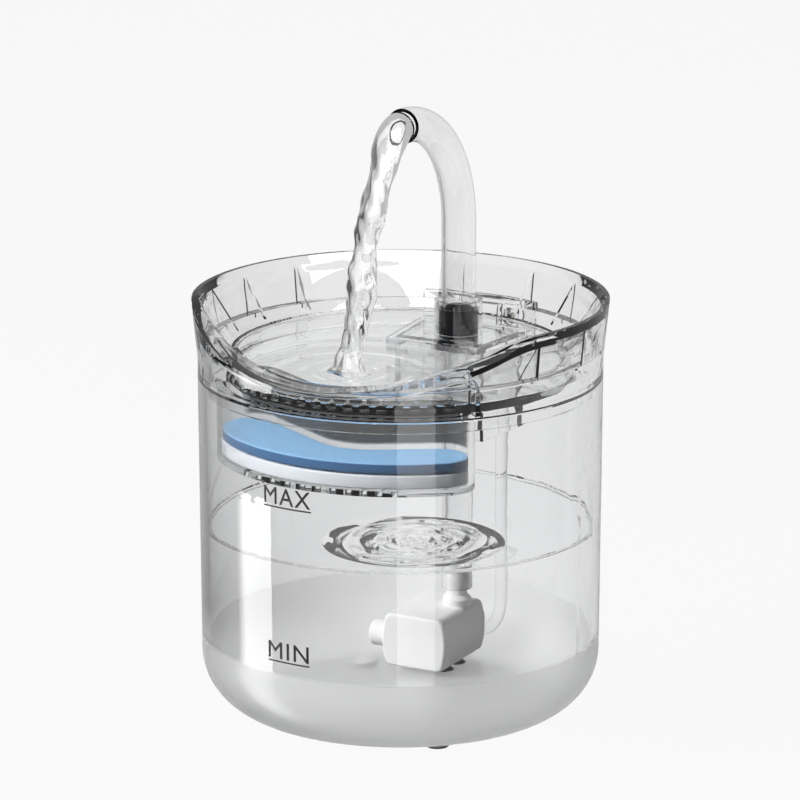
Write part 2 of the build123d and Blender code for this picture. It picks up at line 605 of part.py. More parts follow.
with BuildPart() as pump_housing:
    with BuildSketch(across(PUMP_BACK_Y)):
        add(pump_section(0))
    extrude(amount=PUMP_BACK_Y - housing_front_y)
    # foam chamber at the front, motor bay at the back
    with BuildSketch(across(CHAMBER_FRONT_Y)):
        add(pump_section(PUMP_WALL))
    extrude(amount=CHAMBER_FRONT_Y - housing_front_y, mode=Mode.SUBTRACT)
    with BuildSketch(across(PUMP_BACK_Y)):
        add(pump_section(PUMP_WALL))
    extrude(amount=PUMP_BACK_Y - motor_front_y, mode=Mode.SUBTRACT)
    # impeller chamber and the rotor's well
    with BuildSketch(across_motor(chamber_back_y)):
        Circle(CHAMBER_R)
    extrude(amount=CHAMBER_DEPTH, mode=Mode.SUBTRACT)
    with BuildSketch(across_motor(chamber_back_y + WELL_DEPTH + WELL_WALL)):
        Circle(WELL_R + WELL_WALL)
    extrude(amount=WELL_DEPTH + WELL_WALL)
    with BuildSketch(across_motor(chamber_back_y + WELL_DEPTH)):
        Circle(WELL_R)
    extrude(amount=WELL_DEPTH, mode=Mode.SUBTRACT)
    # outlet, hole for the knob's stem, intake slots underneath
    with BuildSketch(Plane.XY.offset(pump_mid_z)):
        with Locations((0, FAUCET_Y)):
            Circle(WATERWAY_R)
    extrude(amount=PUMP_HEIGHT, mode=Mode.SUBTRACT)
    with BuildSketch(Plane.XY.offset(pump_top_z - NOZZLE_PLUG)):
        with Locations((0, FAUCET_Y)):
            Circle(NOZZLE_R)
    extrude(amount=NOZZLE_PLUG, mode=Mode.SUBTRACT)
    with BuildSketch(Plane.YZ.offset(PUMP_X_MIN)):
        with Locations((KNOB_Y, pump_mid_z)):
            Circle(KNOB_STEM_R + RUNNING_FIT)
    extrude(amount=PUMP_WALL, mode=Mode.SUBTRACT)
    with BuildSketch(Plane.XY.offset(PUMP_BASE_Z)):
        with Locations((pump_mid_x, (housing_front_y + CHAMBER_FRONT_Y) / 2)):
            with GridLocations(INTAKE_SLOT_PITCH, 0, INTAKE_SLOTS, 1):
                SlotOverall(INTAKE_SLOT_LENGTH, INTAKE_SLOT_WIDTH, rotation=90)
    extrude(amount=PUMP_WALL, mode=Mode.SUBTRACT)
write(pump_housing, "pump_housing")

with BuildPart() as pump_front_cover:
    with BuildSketch(across(housing_front_y)):
        add(pump_section(0))
    extrude(amount=COVER_THICKNESS)
    fillet(pump_front_cover.faces().sort_by(Axis.Y)[0].edges(), COVER_THICKNESS / 2)
    with BuildSketch(across(housing_front_y + COVER_PLUG)):
        add(pump_section(PUMP_WALL + COVER_FIT))
        add(pump_section(PUMP_WALL + PLUG_WALL), mode=Mode.SUBTRACT)
    extrude(amount=COVER_PLUG)
write(pump_front_cover, "pump_front_cover")

foam_front_y = housing_front_y + COVER_PLUG + PAD_LIFT
foam_back_y = CHAMBER_FRONT_Y - INTAKE_PLATE - PAD_LIFT
with BuildPart() as prefilter_sponge:
    with BuildSketch(across(foam_back_y)):
        add(pump_section(PUMP_WALL + PAD_LIFT))
    extrude(amount=foam_back_y - foam_front_y)
write(prefilter_sponge, "prefilter_sponge")

with BuildPart() as intake_plate:
    with BuildSketch(across(CHAMBER_FRONT_Y)):
        add(pump_section(PUMP_WALL + COVER_FIT))
    extrude(amount=INTAKE_PLATE)
    with BuildSketch(across_motor(CHAMBER_FRONT_Y)):
        Circle(INTAKE_R)
        Circle(BUSH_R + PUMP_WALL / 2, mode=Mode.SUBTRACT)
        with PolarLocations(0, INTAKE_SPOKES):
            Rectangle(INTAKE_R + CUT_MARGIN, PUMP_WALL / 2, align=(Align.MIN, Align.CENTER),
                      mode=Mode.SUBTRACT)
    extrude(amount=INTAKE_PLATE, mode=Mode.SUBTRACT)
    with BuildSketch(across_motor(CHAMBER_FRONT_Y)):
        Circle(BUSH_R)
    extrude(amount=BUSH_LENGTH, mode=Mode.SUBTRACT)
write(intake_plate, "intake_plate")

# Rotor: shaft held in two bushes, magnet in the well, impeller in the chamber
shaft_front_y = CHAMBER_FRONT_Y - BUSH_LENGTH
shaft_back_y = chamber_back_y + WELL_DEPTH
magnet_front_y = chamber_back_y - ROTOR_GAP
magnet_back_y = shaft_back_y - BUSH_LENGTH - ROTOR_GAP
with BuildPart() as impeller_shaft:
    with BuildSketch(across_motor(shaft_back_y)):
        Circle(SHAFT_R)
    extrude(amount=shaft_back_y - shaft_front_y)
write(impeller_shaft, "impeller_shaft")

with BuildPart() as shaft_bushes:
    with BuildSketch(across_motor(CHAMBER_FRONT_Y)):
        Circle(BUSH_R)
        Circle(SHAFT_R, mode=Mode.SUBTRACT)
    extrude(amount=BUSH_LENGTH)
    with BuildSketch(across_motor(shaft_back_y)):
        Circle(BUSH_R)
        Circle(SHAFT_R, mode=Mode.SUBTRACT)
    extrude(amount=BUSH_LENGTH)
write(shaft_bushes, "shaft_bushes")

with BuildPart() as rotor_magnet:
    with BuildSketch(across_motor(magnet_back_y)):
        Circle(MAGNET_R)
        Circle(SHAFT_R + RUNNING_FIT, mode=Mode.SUBTRACT)
    extrude(amount=magnet_back_y - magnet_front_y)
write(rotor_magnet, "rotor_magnet")

impeller_length = magnet_front_y - CHAMBER_FRONT_Y - 2 * ROTOR_GAP
with BuildPart() as impeller:
    with BuildSketch(across_motor(magnet_front_y)):
        Circle(IMPELLER_R)
        Circle(SHAFT_R + RUNNING_FIT, mode=Mode.SUBTRACT)
    extrude(amount=BLADE_THICKNESS)
    with BuildSketch(across_motor(magnet_front_y)):
        Circle(HUB_R)
        Circle(SHAFT_R + RUNNING_FIT, mode=Mode.SUBTRACT)
    extrude(amount=impeller_length)
    with BuildSketch(across_motor(magnet_front_y)):
        with PolarLocations(0, IMPELLER_BLADES):
            with Locations((HUB_R - BLADE_THICKNESS / 2, 0)):
                Rectangle(IMPELLER_R - HUB_R, BLADE_THICKNESS,
                          align=(Align.MIN, Align.CENTER))
    extrude(amount=impeller_length - BLADE_THICKNESS)
write(impeller, "impeller")

# Stator round the well, its windings, the driver board and the back plate
stator_front_y = motor_front_y + COIL_WALL + COIL_GAP
stator_back_y = stator_front_y + STATOR_THICKNESS
yoke_inner_r = STATOR_R - STATOR_YOKE
well_outer_r = WELL_R + WELL_WALL
with BuildPart() as stator_core:
    with BuildSketch(across_motor(stator_back_y)):
        Circle(STATOR_R)
        Circle(yoke_inner_r, mode=Mode.SUBTRACT)
        with PolarLocations(0, STATOR_POLES, start_angle=45):
            with Locations((well_outer_r, 0)):
                Rectangle(STATOR_R - STATOR_YOKE / 2 - well_outer_r, POLE_WIDTH,
                          align=(Align.MIN, Align.CENTER))
        Circle(well_outer_r + RUNNING_FIT, mode=Mode.SUBTRACT)
    extrude(amount=STATOR_THICKNESS)
write(stator_core, "stator_core")

coil_length = yoke_inner_r - well_outer_r - 4 * COIL_GAP
with BuildPart() as stator_coils:
    with BuildSketch(across_motor(stator_back_y + COIL_WALL)):
        with PolarLocations(0, STATOR_POLES, start_angle=45):
            with Locations((well_outer_r + 2 * COIL_GAP, 0)):
                Rectangle(coil_length, POLE_WIDTH + 2 * COIL_WALL,
                          align=(Align.MIN, Align.CENTER))
    extrude(amount=STATOR_THICKNESS + 2 * COIL_WALL)
    with BuildSketch(across_motor(stator_back_y)):
        with PolarLocations(0, STATOR_POLES, start_angle=45):
            with Locations((well_outer_r, 0)):
                Rectangle(STATOR_R - well_outer_r, POLE_WIDTH, align=(Align.MIN, Align.CENTER))
    extrude(amount=STATOR_THICKNESS, mode=Mode.SUBTRACT)
write(stator_coils, "stator_coils")

board_front_y = PUMP_BACK_Y - BACK_PLATE - BOARD_THICKNESS - BOARD_GAP
with BuildPart() as driver_board:
    with BuildSketch(across(board_front_y + BOARD_THICKNESS)):
        add(pump_section(PUMP_WALL + PAD_LIFT))
    extrude(amount=BOARD_THICKNESS)
    with BuildSketch(across_motor(board_front_y + BOARD_THICKNESS)):
        Circle(well_outer_r + PAD_LIFT)
    extrude(amount=BOARD_THICKNESS, mode=Mode.SUBTRACT)
write(driver_board, "driver_board")

with BuildPart() as pump_back_plate:
    with BuildSketch(across(PUMP_BACK_Y)):
        add(pump_section(PUMP_WALL + COVER_FIT))
    extrude(amount=BACK_PLATE)
write(pump_back_plate, "pump_back_plate")

with BuildPart() as outlet_nozzle:
    with BuildSketch(Plane.XZ.offset(-FAUCET_Y)):
        with BuildLine():
            Polyline((WATERWAY_R, pump_top_z - NOZZLE_PLUG), (NOZZLE_R, pump_top_z - NOZZLE_PLUG),
                     (NOZZLE_R, pump_top_z), (NOZZLE_COLLAR_R, pump_top_z),
                     (NOZZLE_COLLAR_R, pump_top_z + NOZZLE_COLLAR_STRAIGHT),
                     (NOZZLE_R, pump_top_z + NOZZLE_COLLAR),
                     (NOZZLE_R, pump_top_z + NOZZLE_LENGTH),
                     (WATERWAY_R, pump_top_z + NOZZLE_LENGTH), close=True)
        make_face()
    revolve(axis=Axis((0, FAUCET_Y, 0), (0, 0, 1)))
write(outlet_nozzle, "outlet_nozzle")

hose_bottom_z = pump_top_z + NOZZLE_LENGTH - HOSE_OVERLAP
hose_top_z = socket_seat_z - SOCKET_BASE
with BuildPart() as riser_hose:
    with BuildSketch(Plane.XY.offset(hose_bottom_z)):
        with Locations((0, FAUCET_Y)):
            Circle(NOZZLE_R + HOSE_WALL)
            Circle(NOZZLE_R, mode=Mode.SUBTRACT)
    extrude(amount=hose_top_z - hose_bottom_z)
write(riser_hose, "riser_hose")

with BuildPart() as flow_knob:
    with BuildSketch(Plane.YZ.offset(PUMP_X_MIN - ROTOR_GAP)):
        with Locations((KNOB_Y, pump_mid_z)):
            Circle(KNOB_R)
    extrude(amount=-KNOB_LENGTH)
    fillet(flow_knob.faces().sort_by(Axis.X)[0].edges(), KNOB_R / 4)
    with BuildSketch(Plane.YZ.offset(PUMP_X_MIN - ROTOR_GAP)):
        with Locations((KNOB_Y, pump_mid_z)):
            Circle(KNOB_STEM_R)
    extrude(amount=PUMP_WALL + ROTOR_GAP)
write(flow_knob, "flow_knob")

cup_places = [(x, y) for x in (PUMP_X_MIN + CUP_INSET_X, PUMP_X_MAX - CUP_INSET_X)
              for y in (PUMP_FRONT_Y + CUP_INSET_Y, PUMP_BACK_Y - CUP_INSET_Y)]
tank_floor_z = SHELL_BOTTOM_Z + TANK_WALL
with BuildPart() as suction_cups:
    for x, y in cup_places:
        with Locations((x, y, tank_floor_z)):
            Cone(CUP_R, CUP_STEM_R, PUMP_BASE_Z - tank_floor_z,
                 align=(Align.CENTER, Align.CENTER, Align.MIN))
write(suction_cups, "suction_cups")

# The gland lies along the back plate and points sideways.
gland_y = PUMP_BACK_Y + GLAND_R
with BuildPart() as lead_gland:
    with BuildSketch(Plane.YZ.offset(GLAND_END_X)):
        with Locations((gland_y, GLAND_Z)):
            Circle(GLAND_R)
        with Locations((PUMP_BACK_Y, GLAND_Z)):
            Rectangle(GLAND_R, 2 * GLAND_R, align=(Align.MIN, Align.CENTER))
    extrude(amount=-GLAND_LENGTH)
    fillet(lead_gland.faces().sort_by(Axis.X)[0].edges().filter_by(GeomType.CIRCLE), GLAND_R / 3)
write(lead_gland, "lead_gland")

# ---------------------------------------------------------------- power inlet and pump lead
skirt_outer_y = sqrt(BAND_R ** 2 - JACK_X ** 2)
jack_base_z = jack_z - JACK_HEIGHT / 2
barrel_end_y = skirt_outer_y + JACK_PROUD
with BuildPart() as power_jack:
    with BuildSketch(Plane.XY.offset(jack_base_z)):
        with Locations((JACK_X, jack_front_y)):
            Rectangle(JACK_WIDTH, JACK_DEPTH, align=(Align.CENTER, Align.MIN))
    extrude(amount=JACK_HEIGHT)
    with BuildSketch(Plane.XZ.offset(-barrel_end_y)):
        with Locations((JACK_X, jack_z)):
            Circle(JACK_BARREL_R)
    extrude(amount=barrel_end_y - jack_front_y - JACK_DEPTH / 2)
    with BuildSketch(Plane.XZ.offset(-barrel_end_y)):
        with Locations((JACK_X, jack_z)):
            Circle(JACK_BORE_R)
    extrude(amount=JACK_BORE_DEPTH, mode=Mode.SUBTRACT)
write(power_jack, "power_jack")

with BuildPart() as jack_pin:
    with BuildSketch(Plane.XZ.offset(-barrel_end_y + JACK_BORE_DEPTH)):
        with Locations((JACK_X, jack_z)):
            Circle(JACK_PIN_R)
    extrude(amount=-(JACK_BORE_DEPTH - JACK_PIN_RECESS))
write(jack_pin, "jack_pin")

lead_end_y = jack_back_y - LEAD_R
lead_route = [
    (GLAND_END_X, gland_y, GLAND_Z), (4.2, gland_y, GLAND_Z), (8.5, 61.6, 17.6),
    (11.0, 62.6, 22.4), (11.5, 63.4, 31.0), (10.9, 63.9, 46.0), (10.5, 64.2, 74.0),
    (10.8, 64.5, 100.0), (11.4, 65.6, 113.0), (JACK_X, lead_end_y, 123.8),
    (JACK_X, lead_end_y, jack_base_z),
]


def tube_radii(route):
    """Largest tidy arc at each inner corner: 0.45 of the shorter run over tan(half turn)."""
    radii = []
    for before, corner, after in zip(route, route[1:], route[2:]):
        run_in, run_out = Vector(corner) - Vector(before), Vector(after) - Vector(corner)
        half_turn = radians(run_in.get_angle(run_out)) / 2
        radii.append(0.45 * min(run_in.length, run_out.length) / tan(half_turn))
    return radii


lead_radii = tube_radii(lead_route)
print("lead radii", [round(r, 1) for r in lead_radii])
with BuildPart() as pump_lead:
    with BuildLine() as lead_path:
        FilletPolyline(*lead_route, radius=lead_radii)
    lead_start = Vector(*lead_route[1]) - Vector(*lead_route[0])
    with BuildSketch(Plane(origin=lead_route[0], z_dir=lead_start)):
        Circle(LEAD_R)
    sweep(path=lead_path.wires()[0])
write(pump_lead, "pump_lead")
lead_length = lead_path.wires()[0].length
print(f"lead length {lead_length:.1f}, volume share "
      f"{pump_lead.part.volume / (pi * LEAD_R ** 2 * lead_length):.4f}")
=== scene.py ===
"""Looks of the pet water fountain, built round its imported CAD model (metres, +Z up)."""
import math

import bpy
import numpy as np
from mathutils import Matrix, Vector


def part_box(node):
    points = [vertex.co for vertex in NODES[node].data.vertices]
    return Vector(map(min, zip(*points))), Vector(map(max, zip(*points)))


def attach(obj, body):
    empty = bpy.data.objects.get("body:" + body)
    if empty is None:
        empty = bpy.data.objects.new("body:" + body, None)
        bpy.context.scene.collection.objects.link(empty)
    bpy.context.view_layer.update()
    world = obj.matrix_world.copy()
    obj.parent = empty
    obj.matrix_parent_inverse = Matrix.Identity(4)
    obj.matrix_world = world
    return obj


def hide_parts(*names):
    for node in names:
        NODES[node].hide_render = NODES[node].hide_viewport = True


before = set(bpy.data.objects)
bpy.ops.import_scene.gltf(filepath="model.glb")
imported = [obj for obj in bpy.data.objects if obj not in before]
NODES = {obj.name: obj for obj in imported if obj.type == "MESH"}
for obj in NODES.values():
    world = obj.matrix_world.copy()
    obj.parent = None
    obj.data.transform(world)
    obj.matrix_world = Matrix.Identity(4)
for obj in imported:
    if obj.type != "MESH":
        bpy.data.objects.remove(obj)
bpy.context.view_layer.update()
TAU = 2 * math.pi

# ---------------------------------------------------------------- sizes (metres)
TANK_INNER_R = 0.0726
TANK_BASE_R = 0.0752
TANK_TOP_R = 0.0760
TANK_BASE_Z = 0.003
TANK_TOP_Z = 0.133
TANK_WATER_Z = 0.0754
DISH_WATER_Z = 0.1412
DISH_WATER_R = 0.0624
OUTLET = np.array([0.0, 0.0, 0.226])
STREAM_FOOT = np.array([-0.0005, -0.0385, DISH_WATER_Z])
LEAD_DIAMETER = 0.0048
LEAD_ROUTE = [
    (-0.001, 0.061, 0.015), (0.0042, 0.061, 0.015), (0.0085, 0.0616, 0.0176),
    (0.0110, 0.0626, 0.0224), (0.0115, 0.0634, 0.0310), (0.0109, 0.0639, 0.0460),
    (0.0105, 0.0642, 0.0740), (0.0108, 0.0645, 0.1000), (0.0114, 0.0656, 0.1130),
    (0.0120, 0.068957, 0.1238), (0.0120, 0.068957, 0.1351),
]
SATIN_Z = 0.033
SATIN_EDGE = (-0.0006, 0.0004)
SATIN_ROUGHNESS = 0.3
SATIN_VEIL = 0.10
RIM_ROLL_R = 0.0725
RIM_ROLL = 9.0
# Bounds of the painted shade on the comb's wall and the filter box's walls, standing in for dark
# refraction.
COMB_INNER_R = (0.0612, 0.0616)
COMB_OUTER_R = (0.0648, 0.0656)
COMB_LOW_Z = (0.1372, 0.1378)
COMB_HIGH_Z = (0.1400, 0.1412)
COMB_FRONT_Y = (-0.046, -0.042)
COMB_LEFT_X = (-0.0215, -0.0175)
COMB_RIGHT_X = (0.018, 0.024)
BOX_SHADE_Z = (0.1168, 0.1180)
BOX_SHADE_R = (0.056, 0.060)
FEET_PAD_Z = (0.0024, 0.0026)
MARK_CAP = 0.0068
MARK_CAP_SHARE = 0.729
MARK_SPACING = 1.12
MARK_RISE = 0.0011
MARK_DEPTH = 0.00012
MARK_STROKE = 0.00007
BAR_HALF = 0.0003
BAR_POINTS = 40
BAR_OVERHANG = (0.0001, 0.0004)
PLUNGE = (0.0185, -0.0245)
PLUNGE_R = 0.034
PLUNGE_DEPTH = 0.0015
STREAM_ROWS = 220
STREAM_COLUMNS = 56
DISC_FADE = 0.002
WALL_STEPS = 240
TANK_WAVES = [(0.0004, 0.016, 0.05, 0.03)]
DISH_WAVES = [(0.0009, 0.0085, 0.013, 0.004), (0.0003, 0.013, 0.05, 0.01)]
PAD_FRONT_R = 0.067
PAD_LOBE_R = 0.010
PAD_LEFT_ANGLE = math.radians(50)
PAD_RIGHT_ANGLE = math.radians(42.7)
PAD_NOTCH = (0.0025, -0.0484)
PAD_NOTCH_R = 0.022

# ---------------------------------------------------------------- studio
CAMERA_AZIMUTH = math.radians(28.0)
CAMERA_ELEVATION = math.radians(15.46)
CAMERA_DISTANCE = 1.9
AIM = np.array([0.0, 0.0, 0.1])
FOCAL_PX = 5044.5
FRAME_PX = 800
PRINCIPAL_PX = (400.5, 455.4)
BACKGROUND = 0.99
DARK_SIDE = math.radians(-26)
FILL = 0.20
FLOOR_HALF = 6.0
FLOOR_TONE = 0.35
FLOOR_GLOW_SHARE = 0.93
CARD_DISTANCE = 1.2
CARD_POINTS = 24
CARD_CLEAR_WALLS = 1.5


# ---------------------------------------------------------------- shader expressions
class Value:
    """A node's output socket that takes Python operators, each adding one Math node."""

    def __init__(self, tree, socket):
        self.tree, self.socket = tree, socket

    def _math(self, operation, *others):
        node = self.tree.nodes.new("ShaderNodeMath")
        node.operation = operation
        for slot, other in zip(node.inputs, others):
            if isinstance(other, Value):
                self.tree.links.new(other.socket, slot)
            else:
                slot.default_value = other
        return Value(self.tree, node.outputs[0])

    def __add__(self, other):
        return self._math("ADD", self, other)

    def __mul__(self, other):
        return self._math("MULTIPLY", self, other)

    def __sub__(self, other):
        return self._math("SUBTRACT", self, other)

    def __rsub__(self, other):
        return self._math("SUBTRACT", other, self)

    def __gt__(self, other):
        return self._math("GREATER_THAN", self, other)

    def __lt__(self, other):
        return self._math("LESS_THAN", self, other)

    __radd__ = __add__
    __rmul__ = __mul__

    def maximum(self, other):
        return self._math("MAXIMUM", self, other)


class Finish:
    """A material under construction: node() adds any node, socket by socket."""

    def __init__(self, name, tree=None):
        if tree is None:
            self.material = bpy.data.materials.new(name)
            self.material.use_nodes = True
            tree = self.material.node_tree
        self.tree = tree
        self.tree.nodes.clear()

    def node(self, kind, settings=None, out=0, **inputs):
        """Adds a node; inputs are its sockets' values or links, by name with _ for spaces."""
        made = self.tree.nodes.new("ShaderNode" + kind)
        for key, value in (settings or {}).items():
            setattr(made, key, value)
        for key, value in inputs.items():
            slot = (made.inputs[int(key[1:])] if key[0] == "i" and key[1:].isdigit()
                    else made.inputs[key.replace("_", " ")])
            if isinstance(value, Value):
                self.tree.links.new(value.socket, slot)
            else:
                slot.default_value = value
        return Value(self.tree, made.outputs[out])

    def colour_mix(self, factor, a, b):
        """Mixes two colours."""
        return self.node("Mix", {"data_type": "RGBA"}, out=2, i0=factor, i6=a, i7=b)

    def coords(self, scale=(1, 1, 1)):
        """Object coordinates, scaled along each axis."""
        return self.node("Mapping", Vector=self.node("TexCoord", out=3), Scale=scale)

    def noise(self, size, detail=3.0, stretch=(1, 1, 1)):
        """Cloudy noise whose blotches are about size metres across."""
        return self.node("TexNoise", Vector=self.coords(stretch), Scale=1 / size,
                         Detail=detail)

    def step(self, value, low, high, at_low=0.0, at_high=1.0):
        """A smooth step of value from low to high."""
        return self.node("MapRange", {"interpolation_type": "SMOOTHSTEP"}, Value=value,
                         From_Min=low, From_Max=high, To_Min=at_low, To_Max=at_high)

    def axis(self, which):
        """One of the object coordinates: 0, 1 or 2 for X, Y or Z."""
        return self.node("SeparateXYZ", out=which, Vector=self.node("TexCoord", out=3))

    def radius(self):
        """Distance from the tank's axis."""
        return self.node("VectorMath", {"operation": "LENGTH"}, out=1,
                         i0=self.coords((1, 1, 0)))

    def surface(self, shader, volume=None):
        """Closes the material with its surface shader and an optional volume."""
        end = self.tree.nodes.new("ShaderNodeOutputMaterial")
        self.tree.links.new(shader.socket, end.inputs["Surface"])
        if volume is not None:
            self.tree.links.new(volume.socket, end.inputs["Volume"])
        return self.material


def rgb(r, g, b):
    return (r, g, b, 1.0)


def comb_painted_shade(f):
    """How much painted shade darkens the comb's wall at the front of the dish, more on its left,
    in place of the dark refraction there.
    """
    radius = f.radius()
    ring = f.step(radius, *COMB_INNER_R) * f.step(radius, *COMB_OUTER_R, 1.0, 0.0)
    band = f.step(f.axis(2), *COMB_LOW_Z) * f.step(f.axis(2), *COMB_HIGH_Z, 1.0, 0.0)
    front = f.step(f.axis(1), *COMB_FRONT_Y, 1.0, 0.0)
    across = f.step(f.axis(0), *COMB_RIGHT_X, 0.85, 0.20) * f.step(f.axis(0), *COMB_LEFT_X)
    return ring * band * front * across


def box_painted_shade(f):
    """How much painted shade darkens the filter box's walls nearer the tank's axis above the pads,
    in place of the dark refraction there.
    """
    return f.step(f.axis(2), *BOX_SHADE_Z) * f.step(f.radius(), *BOX_SHADE_R, 0.92, 0.0)


def clear_plastic(name, ior=1.45, density=90.0, tint=(0.88, 0.885, 0.89), wave=0.06,
                  wave_size=0.012, satin_below=None, shade=None, wavy_beyond=None):
    """Clear moulded plastic: a solid that bends light and darkens with its thickness, with
    the faint unevenness that moulding leaves in its faces. Below the height satin_below
    it has a satin face, shade gives where its colour is darkened towards black as
    painted shade, and beyond the radius wavy_beyond its faces roll in long waves."""
    f = Finish(name)
    height = f.noise(wave_size, 2.0)
    if wavy_beyond is not None:
        roll = f.noise(0.011, 1.0, (1, 1, 1.8))
        height = height + f.step(f.radius(), wavy_beyond, wavy_beyond + 0.002) * roll * RIM_ROLL
    bump = f.node("Bump", Strength=wave, Distance=0.0006, Height=height)
    rough = f.step(f.noise(0.006, 5.0), 0.5, 0.8, 0.0, 0.035)
    if satin_below is not None:
        edge = [satin_below + shift for shift in SATIN_EDGE]
        rough = rough.maximum(f.step(f.axis(2), *edge, SATIN_ROUGHNESS, 0.0))
    clean = rgb(1, 1, 1)
    # Painted shade: where shade(f) is above zero the colour goes towards black, in place of dark
    # refraction.
    tone = clean if shade is None else f.colour_mix(shade(f), clean, rgb(0.02, 0.02, 0.02))
    glass = f.node("BsdfPrincipled", Base_Color=tone, Roughness=rough, IOR=ior,
                   Transmission_Weight=1.0, Normal=bump)
    if satin_below is not None:
        frost = f.node("BsdfPrincipled", Base_Color=rgb(0.93, 0.93, 0.935), Roughness=0.22)
        veil = f.step(f.axis(2), *edge, SATIN_VEIL, 0.0)
        glass = f.node("MixShader", i0=veil, i1=glass, i2=frost)
    soak = f.node("VolumeAbsorption", Color=rgb(*tint), Density=density)
    return f.surface(glass, soak)


def moulded(name, colour, roughness, grain=0.15, grain_size=0.0006, mirror=0.5):
    """Moulded plastic or rubber: fine spark texture, and gloss that varies a little."""
    f = Finish(name)
    cloud = f.noise(0.004, 4.0)
    spark = f.noise(grain_size, 2.0)
    low = tuple(c * 0.96 for c in colour)
    tone = f.colour_mix(cloud, rgb(*low), rgb(*colour))
    shader = f.node("BsdfPrincipled", Base_Color=tone, Roughness=cloud * 0.12 + (roughness - 0.06),
                    Normal=f.node("Bump", Strength=grain, Distance=0.0001, Height=spark),
                    Specular_IOR_Level=mirror)
    return f.surface(shader)


def metal(name, colour, roughness, stretch=(1, 1, 1), size=0.0008):
    """Bare metal with drawn or ground marks along one axis."""
    f = Finish(name)
    marks = f.noise(size, 3.0, stretch)
    shader = f.node("BsdfPrincipled", Base_Color=rgb(*colour), Metallic=1.0,
                    Roughness=marks * 0.2 + roughness,
                    Normal=f.node("Bump", Strength=0.2, Distance=0.00005, Height=marks))
    return f.surface(shader)


def windings(name):
    """Enamelled copper wire, wound side by side: ridges across Y, one per turn, coloured
    darker in the grooves between turns as painted shade.
    """
    f = Finish(name)
    turns = f.node("TexWave", {"bands_direction": "Y"}, Vector=f.coords(), Scale=900.0,
                   Distortion=0.6)
    # Painted shade: the colour follows the ridges' height, darker in the grooves.
    tone = f.colour_mix(turns, rgb(0.32, 0.09, 0.03), rgb(0.78, 0.33, 0.14))
    shader = f.node("BsdfPrincipled", Base_Color=tone, Metallic=0.85, Roughness=0.3,
                    Normal=f.node("Bump", Strength=0.6, Distance=0.0002, Height=turns))
    return f.surface(shader)


def circuit_board(name):
    """Green solder mask with paler tracks where a cell pattern has its edges."""
    f = Finish(name)
    cells = f.node("TexVoronoi", {"feature": "DISTANCE_TO_EDGE"}, Vector=f.coords(),
                   Scale=420.0)
    tracks = f.step(cells, 0.03, 0.09, 1.0, 0.0)
    tone = f.colour_mix(tracks, rgb(0.02, 0.12, 0.05), rgb(0.10, 0.32, 0.14))
    shader = f.node("BsdfPrincipled", Base_Color=tone, Roughness=0.4, Coat_Weight=0.3,
                    Normal=f.node("Bump", Strength=0.2, Distance=0.0001, Height=tracks))
    return f.surface(shader)


def foam(name, light, shaded_side, cell=0.0007, depth=0.4):
    """Open-celled foam with small round pores: the top face has the light colour and the
    sides the darker one, painted light on the top and painted shade on the sides."""
    f = Finish(name)
    # Painted light and shade: the colour turns from the sides' darker one to the top's light one
    # as the face turns upward.
    up = f.node("SeparateXYZ", out=2, Vector=f.node("NewGeometry", out=1))
    side = f.colour_mix(f.step(up, 0.2, 0.8), rgb(*shaded_side), rgb(*light))
    pores = f.node("TexVoronoi", Vector=f.coords(), Scale=1 / cell)
    blotch = f.noise(0.004, 3.0)
    tone = f.colour_mix(f.step(pores, 0.25, 0.6, 0.0, 1.0) * 0.16 + blotch * 0.08, side,
                        rgb(*(c * 0.5 for c in shaded_side)))
    shader = f.node("BsdfPrincipled", Base_Color=tone, Roughness=0.85,
                    Normal=f.node("Bump", Strength=depth, Distance=0.0002, Height=pores))
    return f.surface(shader)


def floss(name, colour, shade):
    """Non-woven cotton: long fine fibres lying flat, seen as stretched noise."""
    f = Finish(name)
    fibres = f.noise(0.0012, 6.0, (1, 3, 8))
    fine = f.noise(0.0004, 3.0, (3, 1, 1))
    tone = f.colour_mix(fibres * 0.5 + fine * 0.3, rgb(*shade), rgb(*colour))
    shader = f.node("BsdfPrincipled", Base_Color=tone, Roughness=0.95,
                    Normal=f.node("Bump", Strength=0.35, Distance=0.0002,
                                  Height=fibres + fine * 0.5))
    return f.surface(shader)


def rubber_feet(name):
    """Dark rubber, pale in its top layer that meets the tank."""
    f = Finish(name)
    height = f.axis(2)
    grain = f.noise(0.0005, 3.0)
    pale = f.step(height, *FEET_PAD_Z)
    tone = f.colour_mix(pale, rgb(0.05, 0.05, 0.055), rgb(0.80, 0.80, 0.80))
    tone = f.colour_mix(grain * 0.15, tone, rgb(0.3, 0.3, 0.3))
    shader = f.node("BsdfPrincipled", Base_Color=tone, Roughness=grain * 0.2 + 0.5,
                    Normal=f.node("Bump", Strength=0.3, Distance=0.0001, Height=grain))
    return f.surface(shader)


def water_sheet(name, ripple_size, ripple):
    """A water surface: it mirrors at a glancing view and is otherwise looked through."""
    f = Finish(name)
    swell = f.noise(ripple_size, 2.0)
    bump = f.node("Bump", Strength=ripple, Distance=0.001, Height=swell)
    mirror = f.node("BsdfGlossy", Color=rgb(1, 1, 1), Roughness=0.0, Normal=bump)
    clear = f.node("BsdfTransparent", Color=rgb(0.985, 0.99, 0.995))
    share = f.node("Fresnel", IOR=1.33, Normal=bump)
    return f.surface(f.node("MixShader", i0=share, i1=clear, i2=mirror))


def water_body(name):
    """Falling water: a solid that bends light, its skin broken by small waves."""
    f = Finish(name)
    skin = f.noise(0.0035, 3.0, (1, 1, 0.5))
    bump = f.node("Bump", Strength=0.18, Distance=0.001, Height=skin)
    return f.surface(f.node("BsdfPrincipled", Base_Color=rgb(1, 1, 1), Roughness=0.0, IOR=1.33,
                            Transmission_Weight=1.0, Normal=bump))


